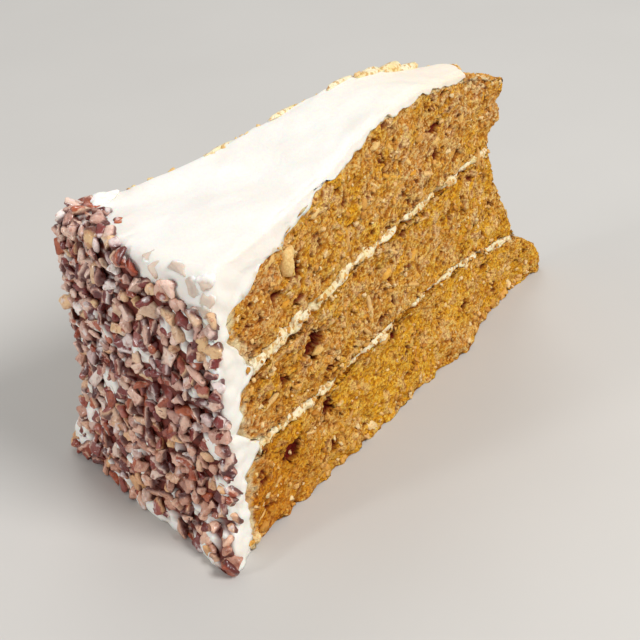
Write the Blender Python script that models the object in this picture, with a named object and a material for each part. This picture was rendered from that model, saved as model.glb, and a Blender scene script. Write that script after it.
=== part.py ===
"""Carrot cake slice: three sponge layers, two cream fillings and a cream coat
whose rim is covered with chopped nuts. Sizes are in millimetres and the meshes
in metres. x runs from the rim to the tip, y from the near cut to the far cut
and z up from the flat base.
"""

import itertools
import math
import random

import bmesh
import bpy
import numpy as np
from mathutils import Euler, Vector, noise

MM = 0.001
GAP = 0.3  # air between pieces that touch
END_GAP = 0.6  # air between a layer's end and the rim coat, whose ridges are faceted
WELD = 0.005  # corners closer than this become one

# The slice: one of fourteen cut from a ten-inch round cake
CAKE_RADIUS = 127.0
HEIGHT = 72.0
RIM_X = (-61.5, -58.6)  # rim corners at the base and at HEIGHT
RIM_HALF = (29.0, 25.4)  # half of the rim's width at the base and at HEIGHT
RIM_Y = (0.8, -1.3)  # middle of the rim, which leans a little
TIP_Y = (-1.2, 1.9)  # middle of the tip, which leans the other way
APEX_X = (69.4, 59.5)  # where the two cuts would meet
TIP_HALF = 2.4  # half of the blunt tip's width
TIP_ROUND = 4.0
TIP_PROFILE = ((0, 72.5), (4, 73), (8, 71), (11, 67.5), (13, 64), (15, 62), (21, 60.5), (29, 57), (35, 55),
               (45, 52.5), (49, 53), (51.5, 57.5), (54, 58), (56.5, 56.5), (58.5, 59), (61, 59.5),
               (66, 58))  # z, x

# Fillings: their middle lines and half of their thickness, from the rim to the tip
LOWER_LINE = ((-56, 24.2), (-46, 23.5), (-36, 22.3), (-18, 21.6), (31, 21.6), (40, 19.8), (50, 17.4), (60, 15.0))
UPPER_LINE = ((-56, 42.9), (-46, 43.4), (-32, 44.4), (-18, 45.5), (-9, 46.0), (26, 46.1), (51, 45.6))
LOWER_HALF = ((-50, 1.1), (-30, 0.7), (0, 0.55))
UPPER_HALF = ((-50, 1.4), (-30, 1.2), (-5, 0.7))
EDGE_RUN = 5.0  # rounded ends of the layers, next to the rim coat
EDGE_DROP = 0.8

CLOSER_ENDS = 0.4  # crowds a layer's cross sections toward the rim and the tip

# Cream coat: its top surface along the near cut and along the far cut
CROWN_NEAR = ((-62, 71.6), (-40, 71.6), (-20, 72.8), (0, 76.6), (16, 75.8), (41, 70.4), (62, 62.4))
CROWN_FAR = ((-62, 66), (-40, 66.4), (-26, 67.3), (-5, 71.8), (16, 75.8), (32, 72.2), (48, 68), (62, 62))
CROWN_BLUR = 5.0
COAT_RIM = ((0, 3.0), (16, 3.3), (32, 3.9), (50, 3.6), (60, 2.2))  # thickness on the rim, by height
COAT_RIDGES = ((6.2, 24.2, 3.2), (4.5, 42.8, 2.6), (3.2, 46.5, 5.5))  # into the fillings: depth, height, reach
COAT_TOP = 1.5  # thickness far from the rim
COAT_WEDGE = 12.5  # added where the top meets the rim
COAT_WEDGE_RUN = 17.0
COAT_CORNER = 2.2  # thickness on the rim where the wedge ends
COAT_END = (41.0, 46.0)  # where the top coat stops, near and far
COAT_EDGE = 3.5  # rounding between rim and top
COAT_STATIONS = 60  # cross sections of the coat, up the rim and along the top
OUTER_TURN = (26 / COAT_STATIONS, 30 / COAT_STATIONS)  # where the outer rounding starts and ends
INNER_TURN = 24 / COAT_STATIONS  # where the inner surface has its corner
FOOT_HEIGHT = 9.0  # cream that swells out at the base
FOOT_NEAR = 4.5
FOOT_FAR = 2.0

# Cut faces
BELLY = (2.6, 8.0, 50.0)  # the near cut swells out at the base: depth, middle and reach
BELLY_LUMP = (3.0, 28.0, 9.0)
BELLY_HEIGHT = 16.0
FAR_WAIST = 5.0  # the far rim corner is drawn in below its middle
FAR_WAIST_Z = 25.0
FAR_WAIST_REACH = (25.0, 13.0)  # along and up
CRAG_COARSE = (1.0, 8.0)  # depth and size of the crumb relief
CRAG_FINE = (0.8, 4.0)
CRAG_FADE = 9.0  # the relief dies out this close to the tip

# Chopped nuts on the rim
NUT_PITCH = 5.0
NUT_ROW = NUT_PITCH * math.sqrt(3) / 2
NUT_FIRST = 1.6  # height of the lowest row
NUT_MARGIN = 0.965  # how near a nut's middle comes to a cut, as a share of the half width
NUT_SHIFT = 0.3  # how far a nut strays from its place, in pitches
NUT_TILT = 0.6  # radians
NUT_LENGTH = (4.0, 5.8)
NUT_WIDTH = (2.9, 4.2)
NUT_THICKNESS = (1.9, 2.9)
NUT_CUBE = 0.74  # edge of the box that a chip is the hull of, as a share of its size
NUT_JITTER = 0.17  # how far the box's corners stray, in the same shares
NUT_PROUD = -0.05  # height of a chip's middle over the coat, as a share of its thickness
NUT_SEED = 15
NUT_LIMIT = ((-1.0, -11.0), (-0.8, -7.0), (-0.6, -5.0), (-0.3, -4.5), (-0.1, -1.0), (0.3, 3.0),
             (1.0, 6.5))  # across, past the edge


def at_height(pair, z):
    return pair[0] + (pair[1] - pair[0]) * z / HEIGHT


def along(profile, position):
    return float(np.interp(position, [p[0] for p in profile], [p[1] for p in profile]))


def bump(position, centre, reach):
    return math.exp(-(((position - centre) / reach) ** 2))


def blurred(profile, x):
    shifts = (-CROWN_BLUR, -CROWN_BLUR / 2, 0.0, CROWN_BLUR / 2, CROWN_BLUR)
    return sum(along(profile, x + shift) for shift in shifts) / len(shifts)


def crown(x, across):
    """Top of the coat; across runs from -1 at the near cut to 1 at the far cut."""
    far_share = (across + 1) / 2
    return blurred(CROWN_NEAR, x) * (1 - far_share) + blurred(CROWN_FAR, x) * far_share


def foot(across, z):
    fade = max(0.0, 1 - z / FOOT_HEIGHT) ** 0.5
    return fade * (FOOT_NEAR * bump(across, -1, 0.35) + FOOT_FAR * bump(across, 1, 0.3))


def rim_surface_x(across, z):
    half = at_height(RIM_HALF, z)
    sagitta = half * half / (2 * CAKE_RADIUS)
    return at_height(RIM_X, z) - sagitta * (1 - across * across)


def wall_x(across, z):
    """Inner face of the rim coat, with a ridge into each filling."""
    ridges = sum(depth * bump(z, height, reach) for depth, height, reach in COAT_RIDGES)
    return rim_surface_x(across, z) + along(COAT_RIM, z) + ridges


def half_width(x, across, z):
    """Half of the slice's width on the side that across points to."""
    share = (at_height(APEX_X, z) - x) / (at_height(APEX_X, z) - at_height(RIM_X, z))
    width = max(at_height(RIM_HALF, z) * share, TIP_HALF)
    if across < 0:
        swell = sum(depth * bump(x, middle, reach) for depth, middle, reach in (BELLY, BELLY_LUMP))
        width += swell * max(0.0, 1 - z / BELLY_HEIGHT)
    else:
        reach_x, reach_z = FAR_WAIST_REACH
        width -= FAR_WAIST * bump(z, FAR_WAIST_Z, reach_z) * bump(x, RIM_X[0], reach_x)
    left = along(TIP_PROFILE, z) - x
    if left < TIP_ROUND:
        width *= 0.35 + 0.65 * math.sqrt(max(0.0, 1 - (1 - left / TIP_ROUND) ** 2))
    return width


def spot(x, across, z, extra=0.0):
    """Point of the slice; extra moves a cut face out of its plane."""
    share = (x - at_height(RIM_X, z)) / (at_height(APEX_X, z) - at_height(RIM_X, z))
    middle = at_height(RIM_Y, z) + (at_height(TIP_Y, z) - at_height(RIM_Y, z)) * share
    return Vector((x, middle + across * (half_width(x, across, z) + extra), z))


def crag(x, across, z, seed):
    """Crumb relief of a cut face, none inside the slice."""
    if abs(across) < 0.999:
        return 0.0
    place = Vector((x, HEIGHT * across, z))
    fade = min(1.0, (along(TIP_PROFILE, z) - x) / CRAG_FADE)
    layers = (CRAG_COARSE, CRAG_FINE)
    return fade * sum(depth * noise.noise(place / size + Vector((seed, 0, 0))) for depth, size in layers)


def edge_drop(x, across, z):
    """How far a layer's rounded end falls away from its filling."""
    inside = (x - wall_x(across, z)) / EDGE_RUN
    if inside >= 1:
        return 0.0
    return EDGE_DROP * (1 - math.sqrt(max(0.0, 1 - (1 - max(inside, 0.0)) ** 2)))


def coat_depth(x):
    from_wall = max(0.0, x - RIM_X[1] - COAT_CORNER)
    return COAT_TOP + COAT_WEDGE * math.exp(-from_wall / COAT_WEDGE_RUN)


def filling_lower_levels(x, across):
    middle = along(LOWER_LINE, x)
    half = along(LOWER_HALF, x) + edge_drop(x, across, middle)
    return middle - half, middle + half


def filling_upper_levels(x, across):
    middle = along(UPPER_LINE, x)
    half = along(UPPER_HALF, x) + edge_drop(x, across, middle)
    return middle - half, middle + half


def sponge_bottom_levels(x, across):
    return 0.0, filling_lower_levels(x, across)[0] - GAP


def sponge_middle_levels(x, across):
    return filling_lower_levels(x, across)[1] + GAP, filling_upper_levels(x, across)[0] - GAP


def sponge_top_levels(x, across):
    return filling_upper_levels(x, across)[1] + GAP, crown(x, across) - coat_depth(x) - GAP


def block(name, segments, place, material):
    """A closed block cut into segments (along, across, up), each corner put by place()."""
    mesh = bmesh.new()
    bmesh.ops.create_grid(mesh, x_segments=segments[0], y_segments=segments[1], size=0.5)
    lifted = bmesh.ops.extrude_face_region(mesh, geom=mesh.faces[:])
    top = [item for item in lifted["geom"] if isinstance(item, bmesh.types.BMVert)]
    bmesh.ops.translate(mesh, verts=top, vec=(0, 0, 1))
    if segments[2] > 1:
        upright = [e for e in mesh.edges if abs(e.verts[0].co.z - e.verts[1].co.z) > 0.5]
        bmesh.ops.subdivide_edges(mesh, edges=upright, cuts=segments[2] - 1, use_grid_fill=True)
    for vert in mesh.verts:
        vert.co = place(vert.co.x + 0.5, vert.co.y * 2, vert.co.z) * MM
    bmesh.ops.recalc_face_normals(mesh, faces=mesh.faces)
    bmesh.ops.triangulate(mesh, faces=mesh.faces)
    return finish(name, mesh, material)


def finish(name, mesh, material):
    data = bpy.data.meshes.new(name)
    mesh.to_mesh(data)
    mesh.free()
    data.materials.append(material)
    piece = bpy.data.objects.new(name, data)
    bpy.context.collection.objects.link(piece)
    return piece


def layer_place(levels, seed=None):
    """Places a layer between its two levels, from the rim coat to the tip. A sponge layer has
    a seed for its relief; a filling has none, and ends flat at the coat's ridge."""

    def place(share, across, up):
        eased = share + CLOSER_ENDS * ((1 - math.cos(math.pi * share)) / 2 - share)
        x = 0.0
        for _ in range(4):  # height and length depend on each other, and settle in a few rounds
            floor, ceiling = levels(x, across)
            z = floor + (ceiling - floor) * up
            end_z = (floor + ceiling) / 2 if seed is None else z
            start = wall_x(across, end_z) + END_GAP
            x = start + (along(TIP_PROFILE, z) - start) * eased
        relief = crag(x, across, z, seed) if seed is not None else 0.0
        return spot(x, across, z, relief)

    return place


def coat_end(across):
    return COAT_END[0] + (COAT_END[1] - COAT_END[0]) * (across + 1) / 2


def coat_outer(share, across):
    """Outer surface of the coat, up the rim, over the edge and along the top."""
    turn_start, turn_end = OUTER_TURN
    edge_z = crown(RIM_X[1], across) - COAT_EDGE
    if share <= turn_start:
        z = edge_z * share / turn_start
        x = rim_surface_x(across, z) - foot(across, z)
        return spot(x, across, z, foot(across, z) / 2)
    edge_x = rim_surface_x(across, edge_z) + COAT_EDGE
    if share <= turn_end:
        turn = (share - turn_start) / (turn_end - turn_start) * math.pi / 2
        rise = crown(edge_x, across) - edge_z
        return spot(edge_x - COAT_EDGE * math.cos(turn), across, edge_z + rise * math.sin(turn))
    x = edge_x + (coat_end(across) - edge_x) * (share - turn_end) / (1 - turn_end)
    return spot(x, across, crown(x, across))


def coat_inner(share, across):
    """Inner surface of the coat, against the layers."""
    corner_z = sponge_top_levels(RIM_X[1] + COAT_CORNER, across)[1] + GAP
    if share <= INNER_TURN:
        z = corner_z * share / INNER_TURN
        return spot(wall_x(across, z), across, z)
    start = wall_x(across, corner_z)
    x = start + (coat_end(across) - start) * (share - INNER_TURN) / (1 - INNER_TURN)
    return spot(x, across, sponge_top_levels(x, across)[1] + GAP)


def coat_place(share, across, up):
    return coat_inner(share, across).lerp(coat_outer(share, across), up)


def rim_frame(height, across):
    """Point and outward direction on the coat; height is measured up the rim and over the edge."""
    straight = crown(RIM_X[1], across) - COAT_EDGE
    rounded = straight + COAT_EDGE * math.pi / 2
    end = rounded + coat_end(across) - RIM_X[1] - COAT_EDGE
    share = float(np.interp(height, (0, straight, rounded, end), (0, *OUTER_TURN, 1)))
    step = 0.005
    here = coat_outer(share, across)
    up = coat_outer(share + step, across) - here
    side = coat_outer(share, across + step) - here
    return here, up.cross(side).normalized()


def nut_spots():
    """Rows of nut places over the rim, each moved a little by the seeded draw."""
    draw = random.Random(NUT_SEED)
    row_count = int((HEIGHT + NUT_LIMIT[-1][1]) / NUT_ROW)
    column_count = int(2 * RIM_HALF[0] / NUT_PITCH)
    for row in range(row_count):
        for column in range(column_count + 1):
            height = NUT_FIRST + NUT_ROW * (row + draw.uniform(-NUT_SHIFT, NUT_SHIFT))
            place = column + 0.5 * (row % 2) + draw.uniform(-NUT_SHIFT, NUT_SHIFT)
            across = max(-NUT_MARGIN, min(NUT_MARGIN, 2 * place / column_count - 1))
            size = draw.uniform(0, 1)
            tilt = [draw.uniform(-NUT_TILT, NUT_TILT) for _ in range(2)] + [draw.uniform(0, 2 * math.pi)]
            seed = draw.randrange(100000)
            if height < crown(RIM_X[1], across) + along(NUT_LIMIT, across):
                yield max(height, NUT_FIRST), across, size, tilt, seed


def nut(index, height, across, size, tilt, seed, material):
    """One angular chip, half sunk in the coat."""
    here, outward = rim_frame(height, across)
    scale = [low + (high - low) * size for low, high in (NUT_LENGTH, NUT_WIDTH, NUT_THICKNESS)]
    turn = outward.to_track_quat("Z", "Y").to_matrix() @ Euler(tilt).to_matrix()
    draw = random.Random(seed)
    corners = []
    for signs in itertools.product((-1, 1), repeat=3):
        shares = [sign * NUT_CUBE / 2 + draw.uniform(-NUT_JITTER, NUT_JITTER) for sign in signs]
        local = Vector([shares[axis] * scale[axis] for axis in range(3)])
        corners.append(here + outward * NUT_PROUD * scale[2] + turn @ local)
    lift = max(0.0, GAP - min(corner.z for corner in corners))
    mesh = bmesh.new()
    for corner in corners:
        mesh.verts.new((corner + Vector((0, 0, lift))) * MM)
    hull = bmesh.ops.convex_hull(mesh, input=mesh.verts)
    bmesh.ops.delete(mesh, geom=hull["geom_interior"], context="VERTS")
    return finish(f"nut_{index}", mesh, material)


def largest_body(piece):
    """Keeps the largest connected body, so scraps and sealed hollows go."""
    mesh = bmesh.new()
    mesh.from_mesh(piece.data)
    bmesh.ops.remove_doubles(mesh, verts=mesh.verts, dist=WELD * MM)
    needless = [vert for vert in mesh.verts if len(vert.link_edges) == 2]
    bmesh.ops.dissolve_verts(mesh, verts=needless)
    bmesh.ops.triangulate(mesh, faces=mesh.faces)
    waiting = set(mesh.verts)
    bodies = []
    while waiting:
        body = {waiting.pop()}
        front = list(body)
        while front:
            vert = front.pop()
            for edge in vert.link_edges:
                other = edge.other_vert(vert)
                if other in waiting:
                    waiting.remove(other)
                    body.add(other)
                    front.append(other)
        bodies.append(body)
    bodies.sort(key=len, reverse=True)
    bmesh.ops.delete(mesh, geom=[vert for body in bodies[1:] for vert in body], context="VERTS")
    mesh.to_mesh(piece.data)
    mesh.free()


def join_nuts(coat, nuts):
    """One Boolean union fuses every nut to the coat."""
    group = bpy.data.collections.new("nuts")
    bpy.context.scene.collection.children.link(group)
    for piece in nuts:
        bpy.context.collection.objects.unlink(piece)
        group.objects.link(piece)
    union = coat.modifiers.new("join nuts", "BOOLEAN")
    union.operation = "UNION"
    union.operand_type = "COLLECTION"
    union.collection = group
    union.solver = "EXACT"
    bpy.context.view_layer.objects.active = coat
    bpy.ops.object.modifier_apply(modifier=union.name)
    for piece in nuts:
        bpy.data.objects.remove(piece)
    bpy.data.collections.remove(group)
    largest_body(coat)


def plain_material(name, colour, roughness):
    material = bpy.data.materials.new(name)
    material.use_nodes = True
    shader = material.node_tree.nodes["Principled BSDF"]
    shader.inputs["Base Color"].default_value = (*colour, 1)
    shader.inputs["Roughness"].default_value = roughness
    shader.inputs["Metallic"].default_value = 0
    return material


def centre(pieces):
    """Hangs the pieces on an empty whose place puts the base's middle at the origin."""
    points = [vert.co for piece in pieces for vert in piece.data.vertices]
    low = [min(point[axis] for point in points) for axis in range(3)]
    high = [max(point[axis] for point in points) for axis in range(3)]
    slice_frame = bpy.data.objects.new("slice", None)
    bpy.context.collection.objects.link(slice_frame)
    slice_frame.location = (-(low[0] + high[0]) / 2, -(low[1] + high[1]) / 2, -low[2])
    for piece in pieces:
        piece.parent = slice_frame


def main():
    for item in list(bpy.data.objects):
        bpy.data.objects.remove(item)

    sponge = plain_material("sponge", (0.53, 0.26, 0.055), 0.85)
    filling = plain_material("filling", (0.80, 0.70, 0.55), 0.55)
    icing = plain_material("icing", (0.90, 0.84, 0.78), 0.45)

    pieces = [
        block("sponge_bottom", (28, 3, 5), layer_place(sponge_bottom_levels, seed=3), sponge),
        block("sponge_middle", (28, 3, 5), layer_place(sponge_middle_levels, seed=17), sponge),
        block("sponge_top", (28, 3, 6), layer_place(sponge_top_levels, seed=41), sponge),
        block("filling_lower", (28, 3, 1), layer_place(filling_lower_levels), filling),
        block("filling_upper", (28, 3, 1), layer_place(filling_upper_levels), filling),
    ]
    coat = block("icing", (COAT_STATIONS, 6, 1), coat_place, icing)
    nuts = [nut(index, *values, icing) for index, values in enumerate(nut_spots())]
    print("nuts:", len(nuts))
    join_nuts(coat, nuts)
    pieces.append(coat)
    centre(pieces)
    for piece in pieces:
        print(piece.name, "triangles:", len(piece.data.polygons))


main()
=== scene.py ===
import itertools
import math
import random

import bmesh
import bpy
import numpy as np
from mathutils import Euler, Matrix, Vector, noise
from mathutils.bvhtree import BVHTree


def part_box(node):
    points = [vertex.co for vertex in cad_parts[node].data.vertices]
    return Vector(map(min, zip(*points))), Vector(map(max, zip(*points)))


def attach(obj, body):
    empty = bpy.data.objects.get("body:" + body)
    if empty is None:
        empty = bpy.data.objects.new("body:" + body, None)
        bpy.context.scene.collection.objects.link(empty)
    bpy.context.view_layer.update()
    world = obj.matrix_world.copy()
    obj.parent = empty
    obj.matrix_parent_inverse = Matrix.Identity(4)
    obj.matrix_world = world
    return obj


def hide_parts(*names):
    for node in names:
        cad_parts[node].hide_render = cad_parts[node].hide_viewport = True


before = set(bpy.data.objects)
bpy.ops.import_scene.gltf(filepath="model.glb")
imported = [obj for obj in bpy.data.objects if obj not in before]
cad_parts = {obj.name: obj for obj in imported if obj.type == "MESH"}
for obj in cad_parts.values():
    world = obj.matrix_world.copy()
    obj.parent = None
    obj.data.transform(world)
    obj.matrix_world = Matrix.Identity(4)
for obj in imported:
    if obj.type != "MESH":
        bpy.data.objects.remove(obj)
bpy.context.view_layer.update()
mm = 0.001
scene = bpy.context.scene
scene.view_settings.view_transform = "Standard"


# Sizes are in millimetres: x runs from the rim to the tip, y from the near cut to the far one, z up

cake = {
    "radius": 127.0,
    "height": 72.0,
    "gap": 0.3,  # between two solids, and between a layer and the rim coat
    "endGap": 0.6,
    "rimX": (-61.5, -58.6),  # at the base and at the height, as are the next four
    "rimHalf": (29.0, 25.4),
    "rimY": (0.8, -1.3),
    "tipY": (-1.2, 1.9),
    "apexX": (69.4, 59.5),
    "tipHalf": 2.4,  # half width at the tip, and how far back its rounding starts
    "tipRound": 4.0,
    "tipThin": 0.35,  # share of the width that is left at the very tip
    # z, x
    "tipProfile": ((0, 72.5), (4, 73), (8, 71), (11, 67.5), (13, 64), (15, 62), (21, 60.5), (29, 57),
                   (35, 55), (45, 52.5), (49, 53), (51.5, 57.5), (54, 58), (56.5, 56.5), (58.5, 59),
                   (61, 59.5), (66, 58)),
    # middle line of each filling and half of its thickness, from the rim to the tip
    "lowerLine": ((-56, 24.2), (-46, 23.5), (-36, 22.3), (-18, 21.6), (31, 21.6), (40, 19.8),
                  (50, 17.4), (60, 15.0)),
    "upperLine": ((-56, 42.9), (-46, 43.4), (-32, 44.4), (-18, 45.5), (-9, 46.0), (26, 46.1), (51, 45.6)),
    "lowerHalf": ((-50, 1.1), (-30, 0.7), (0, 0.55)),
    "upperHalf": ((-50, 1.4), (-30, 1.2), (-5, 0.7)),
    "edgeRun": 5.0,  # the layers' edges are rounded by the rim coat, and the fillings widen there
    "edgeDrop": 0.8,
    # where the coat leaves more or less sponge on the near cut: x, rise and reach
    "frostLine": ((-21.0, 1.2, 4.0), (-12.0, -1.4, 3.5), (-36.0, -0.5, 4.0), (14.0, -0.6, 5.0)),
    "frostLineFrom": (-0.8, -1.0),
    # height of the top along the near and the far cut
    "crownNear": ((-62, 71.6), (-40, 71.6), (-20, 72.8), (0, 76.6), (16, 75.8), (41, 70.4), (62, 62.4)),
    "crownFar": ((-62, 66), (-40, 66.4), (-26, 67.3), (-5, 71.8), (16, 75.8), (32, 72.2), (48, 68),
                 (62, 62)),
    "crownBlur": 5.0,
    "coatRim": ((0, 3.0), (16, 3.3), (32, 3.9), (50, 3.6), (60, 2.2)),  # z, thickness
    "coatRidges": ((6.2, 24.2, 3.2), (4.5, 42.8, 2.6), (3.2, 46.5, 5.5)),  # depth, height and reach
    "coatTop": 1.5,  # thickness toward the tip, how much thicker it is at the rim, and how fast that fades
    "coatWedge": 12.5,
    "coatWedgeRun": 17.0,
    "coatCorner": 2.2,
    "coatEnd": (41.0, 46.0),  # x where it ends at the near and the far cut
    "coatEdge": 3.5,  # rounding between rim and top
    "outerTurn": (26 / 60, 30 / 60),  # shares of its length where the outside and the inside turn
    "innerTurn": 24 / 60,
    "footHeight": 9.0,
    "footNear": (4.5, 0.35),  # how far the coat spreads at its foot, and its reach across
    "footFar": (2.0, 0.3),
    "bellies": ((2.6, 8.0, 50.0), (3.0, 28.0, 9.0)),  # depth, middle and reach
    "bellyHeight": 16.0,
    "farWaist": 5.0,  # how far the far cut is drawn in by the rim, at what height, and its reaches
    "farWaistZ": 25.0,
    "farWaistReach": (25.0, 13.0),
    "crags": ((1.0, 8.0), (0.8, 4.0)),  # depth and size
    "cragFade": 9.0,
    "cragFrom": 0.999,  # share of the half width
}


def atHeight(pair, z):
    return pair[0] + (pair[1] - pair[0]) * z / cake["height"]


def along(profile, position):
    return np.interp(position, [p[0] for p in profile], [p[1] for p in profile])


def bump(position, middle, reach):
    return np.exp(-(((position - middle) / reach) ** 2))


def smoothStep(low, high, value):
    share = np.clip((value - low) / (high - low), 0, 1)
    return share * share * (3 - 2 * share)


def blurred(profile, x):
    shifts = (-cake["crownBlur"], -cake["crownBlur"] / 2, 0.0, cake["crownBlur"] / 2, cake["crownBlur"])
    return sum(along(profile, x + shift) for shift in shifts) / len(shifts)


def crown(x, across):
    farShare = (across + 1) / 2
    return blurred(cake["crownNear"], x) * (1 - farShare) + blurred(cake["crownFar"], x) * farShare


def foot(across, z):
    fade = np.maximum(0.0, 1 - z / cake["footHeight"]) ** 0.5
    (near, nearReach), (far, farReach) = cake["footNear"], cake["footFar"]
    return fade * (near * bump(across, -1, nearReach) + far * bump(across, 1, farReach))


def rimSurfaceX(across, z):
    half = atHeight(cake["rimHalf"], z)
    return atHeight(cake["rimX"], z) - half * half / (2 * cake["radius"]) * (1 - across * across)


def wallX(across, z):
    ridges = sum(depth * bump(z, height, reach) for depth, height, reach in cake["coatRidges"])
    return rimSurfaceX(across, z) + along(cake["coatRim"], z) + ridges


def halfWidth(x, across, z):
    rim, apex = atHeight(cake["rimX"], z), atHeight(cake["apexX"], z)
    width = np.maximum(atHeight(cake["rimHalf"], z) * (apex - x) / (apex - rim), cake["tipHalf"])
    swell = sum(depth * bump(x, middle, reach) for depth, middle, reach in cake["bellies"])
    swell = swell * np.maximum(0.0, 1 - z / cake["bellyHeight"])
    reachX, reachZ = cake["farWaistReach"]
    waist = cake["farWaist"] * bump(z, cake["farWaistZ"], reachZ) * bump(x, cake["rimX"][0], reachX)
    width = width + np.where(across < 0, swell, -waist)
    left = np.clip((along(cake["tipProfile"], z) - x) / cake["tipRound"], 0, 1)
    thin = cake["tipThin"]
    return width * (thin + (1 - thin) * np.sqrt(np.clip(1 - (1 - left) ** 2, 0, 1)))


def spot(x, across, z, extra=0.0):
    rim, apex = atHeight(cake["rimX"], z), atHeight(cake["apexX"], z)
    share = (x - rim) / (apex - rim)
    middle = atHeight(cake["rimY"], z) + (atHeight(cake["tipY"], z) - atHeight(cake["rimY"], z)) * share
    y = middle + across * (halfWidth(x, across, z) + extra)
    return np.stack(np.broadcast_arrays(x, y, z), -1)


def edgeDrop(x, across, z):
    inside = np.clip((x - wallX(across, z)) / cake["edgeRun"], 0, 1)
    return cake["edgeDrop"] * (1 - np.sqrt(1 - (1 - inside) ** 2))


def coatDepth(x):
    fromWall = np.maximum(0.0, x - cake["rimX"][1] - cake["coatCorner"])
    return cake["coatTop"] + cake["coatWedge"] * np.exp(-fromWall / cake["coatWedgeRun"])


def coatEnd(across):
    return cake["coatEnd"][0] + (cake["coatEnd"][1] - cake["coatEnd"][0]) * (across + 1) / 2


def fillingLevels(x, across, which):
    middle = along(cake[which + "Line"], x)
    half = along(cake[which + "Half"], x) + edgeDrop(x, across, middle)
    return middle - half, middle + half


def lowerLevels(x, across):
    return fillingLevels(x, across, "lower")


def upperLevels(x, across):
    return fillingLevels(x, across, "upper")


def bottomLevels(x, across):
    return x * 0, lowerLevels(x, across)[0] - cake["gap"]


def middleLevels(x, across):
    return lowerLevels(x, across)[1] + cake["gap"], upperLevels(x, across)[0] - cake["gap"]


def frostLine(x, across):
    rises = sum(rise * bump(x, middle, reach) for middle, rise, reach in cake["frostLine"])
    return rises * smoothStep(*cake["frostLineFrom"], across)


def topLevels(x, across):
    ceiling = crown(x, across) - coatDepth(x) - cake["gap"] + frostLine(x, across)
    return upperLevels(x, across)[1] + cake["gap"], ceiling


def layerPoints(levels, share, across, up, extra=None, flatEnd=False, tuck=0.0):
    # a filling ends flat, and tuck brings a layer's end closer to the rim coat
    x = share * 0
    for _ in range(4):  # height and length depend on each other, and settle in a few rounds
        floor, ceiling = levels(x, across)
        z = floor + (ceiling - floor) * up
        endZ = (floor + ceiling) / 2 if flatEnd else z
        start = wallX(across, endZ) + cake["endGap"] - tuck
        x = start + (along(cake["tipProfile"], z) - start) * share
    return spot(x, across, z, 0.0 if extra is None else extra(x, across, z))


def towardCuts(share):
    # from cut to cut, with the points closer together toward them
    return np.sin(math.pi / 2 * (share * 2 - 1))


def noiseAt(points, size, seed):
    shift = Vector((seed, seed * 0.37, -seed * 0.61))
    return np.array([noise.noise(Vector(point) / size + shift) for point in points])


def ripple(points, seed, listed, start=0.0):
    # noises added to a start: the height, size and shift of the seed of each
    return sum((height * noiseAt(points, size, seed + shift) for height, size, shift in listed), start)


def inAreas(points, seed, areas):
    # 0 to 1 in patches: their size, the noise where they start and are full, and the shift of the seed
    share = 1.0
    for size, start, full, shift in areas:
        share = share * smoothStep(start, full, noiseAt(points, size, seed + shift))
    return share


def crag(x, across, z, seed):
    # coarse relief of the cuts, fading toward the tip
    relief = np.zeros(len(x))
    cut = np.abs(across) > cake["cragFrom"]
    places = np.stack([x, cake["height"] * across, z], -1)[cut]
    fade = np.minimum(1.0, (along(cake["tipProfile"], z[cut]) - x[cut]) / cake["cragFade"])
    shift = Vector((seed, 0, 0))
    for depth, size in cake["crags"]:
        relief[cut] += depth * np.array([noise.noise(Vector(place) / size + shift) for place in places])
    relief[cut] *= fade
    return relief


# The upper filling has no relief, so its box in the frame says where these sizes have their origin
nodeLow, nodeHigh = (np.array(corner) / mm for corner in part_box("filling_upper"))
ends = [np.array(values, float) for values in zip(*itertools.product((0, 1), (-1, 1), (0, 1)))]
corners = layerPoints(upperLevels, *ends, flatEnd=True)
origin = Vector((corners[:, 0].max() - nodeHigh[0], corners[:, 1].min() - nodeLow[1], 0))
print("origin", tuple(round(value, 3) for value in origin))


def skinOfGrid(counts):
    # surface points of a grid of cells, as indices, and the quads between them
    shape = [count + 1 for count in counts]
    onSkin = np.zeros(shape, bool)
    for axis in range(3):
        np.moveaxis(onSkin, axis, 0)[[0, -1]] = True
    ids = np.zeros(shape, int)
    ids[onSkin] = np.arange(onSkin.sum())
    quads = []
    for axis, side in itertools.product(range(3), (0, -1)):
        face = np.take(ids, side, axis=axis)
        quad = np.stack([face[:-1, :-1], face[1:, :-1], face[1:, 1:], face[:-1, 1:]], -1).reshape(-1, 4)
        turned = (side == 0) != (axis == 1)
        quads.append(quad[:, ::-1] if turned else quad)
    return np.argwhere(onSkin), np.concatenate(quads)


def pointNormals(points, quads):
    diagonals = (points[quads[:, 2]] - points[quads[:, 0]], points[quads[:, 3]] - points[quads[:, 1]])
    faceNormals = np.cross(*diagonals)
    normals = np.zeros_like(points)
    for corner in range(4):
        np.add.at(normals, quads[:, corner], faceNormals)
    return normals / np.maximum(np.linalg.norm(normals, axis=1, keepdims=True), 1e-9)


def makePiece(name, points, faces, material, slot, nodes, **fields):
    mesh = bpy.data.meshes.new(name)
    mesh.from_pydata((np.asarray(points) - np.array(origin)) * mm, [], faces)
    for field, values in fields.items():
        mesh.attributes.new(field, "FLOAT", "POINT").data.foreach_set("value", np.asarray(values, "f"))
    mesh.shade_smooth()
    mesh.materials.append(material)
    piece = bpy.data.objects.new(name, mesh)
    scene.collection.objects.link(piece)
    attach(piece, "root")
    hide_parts(*nodes)
    print(name, len(mesh.vertices), "points")


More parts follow.
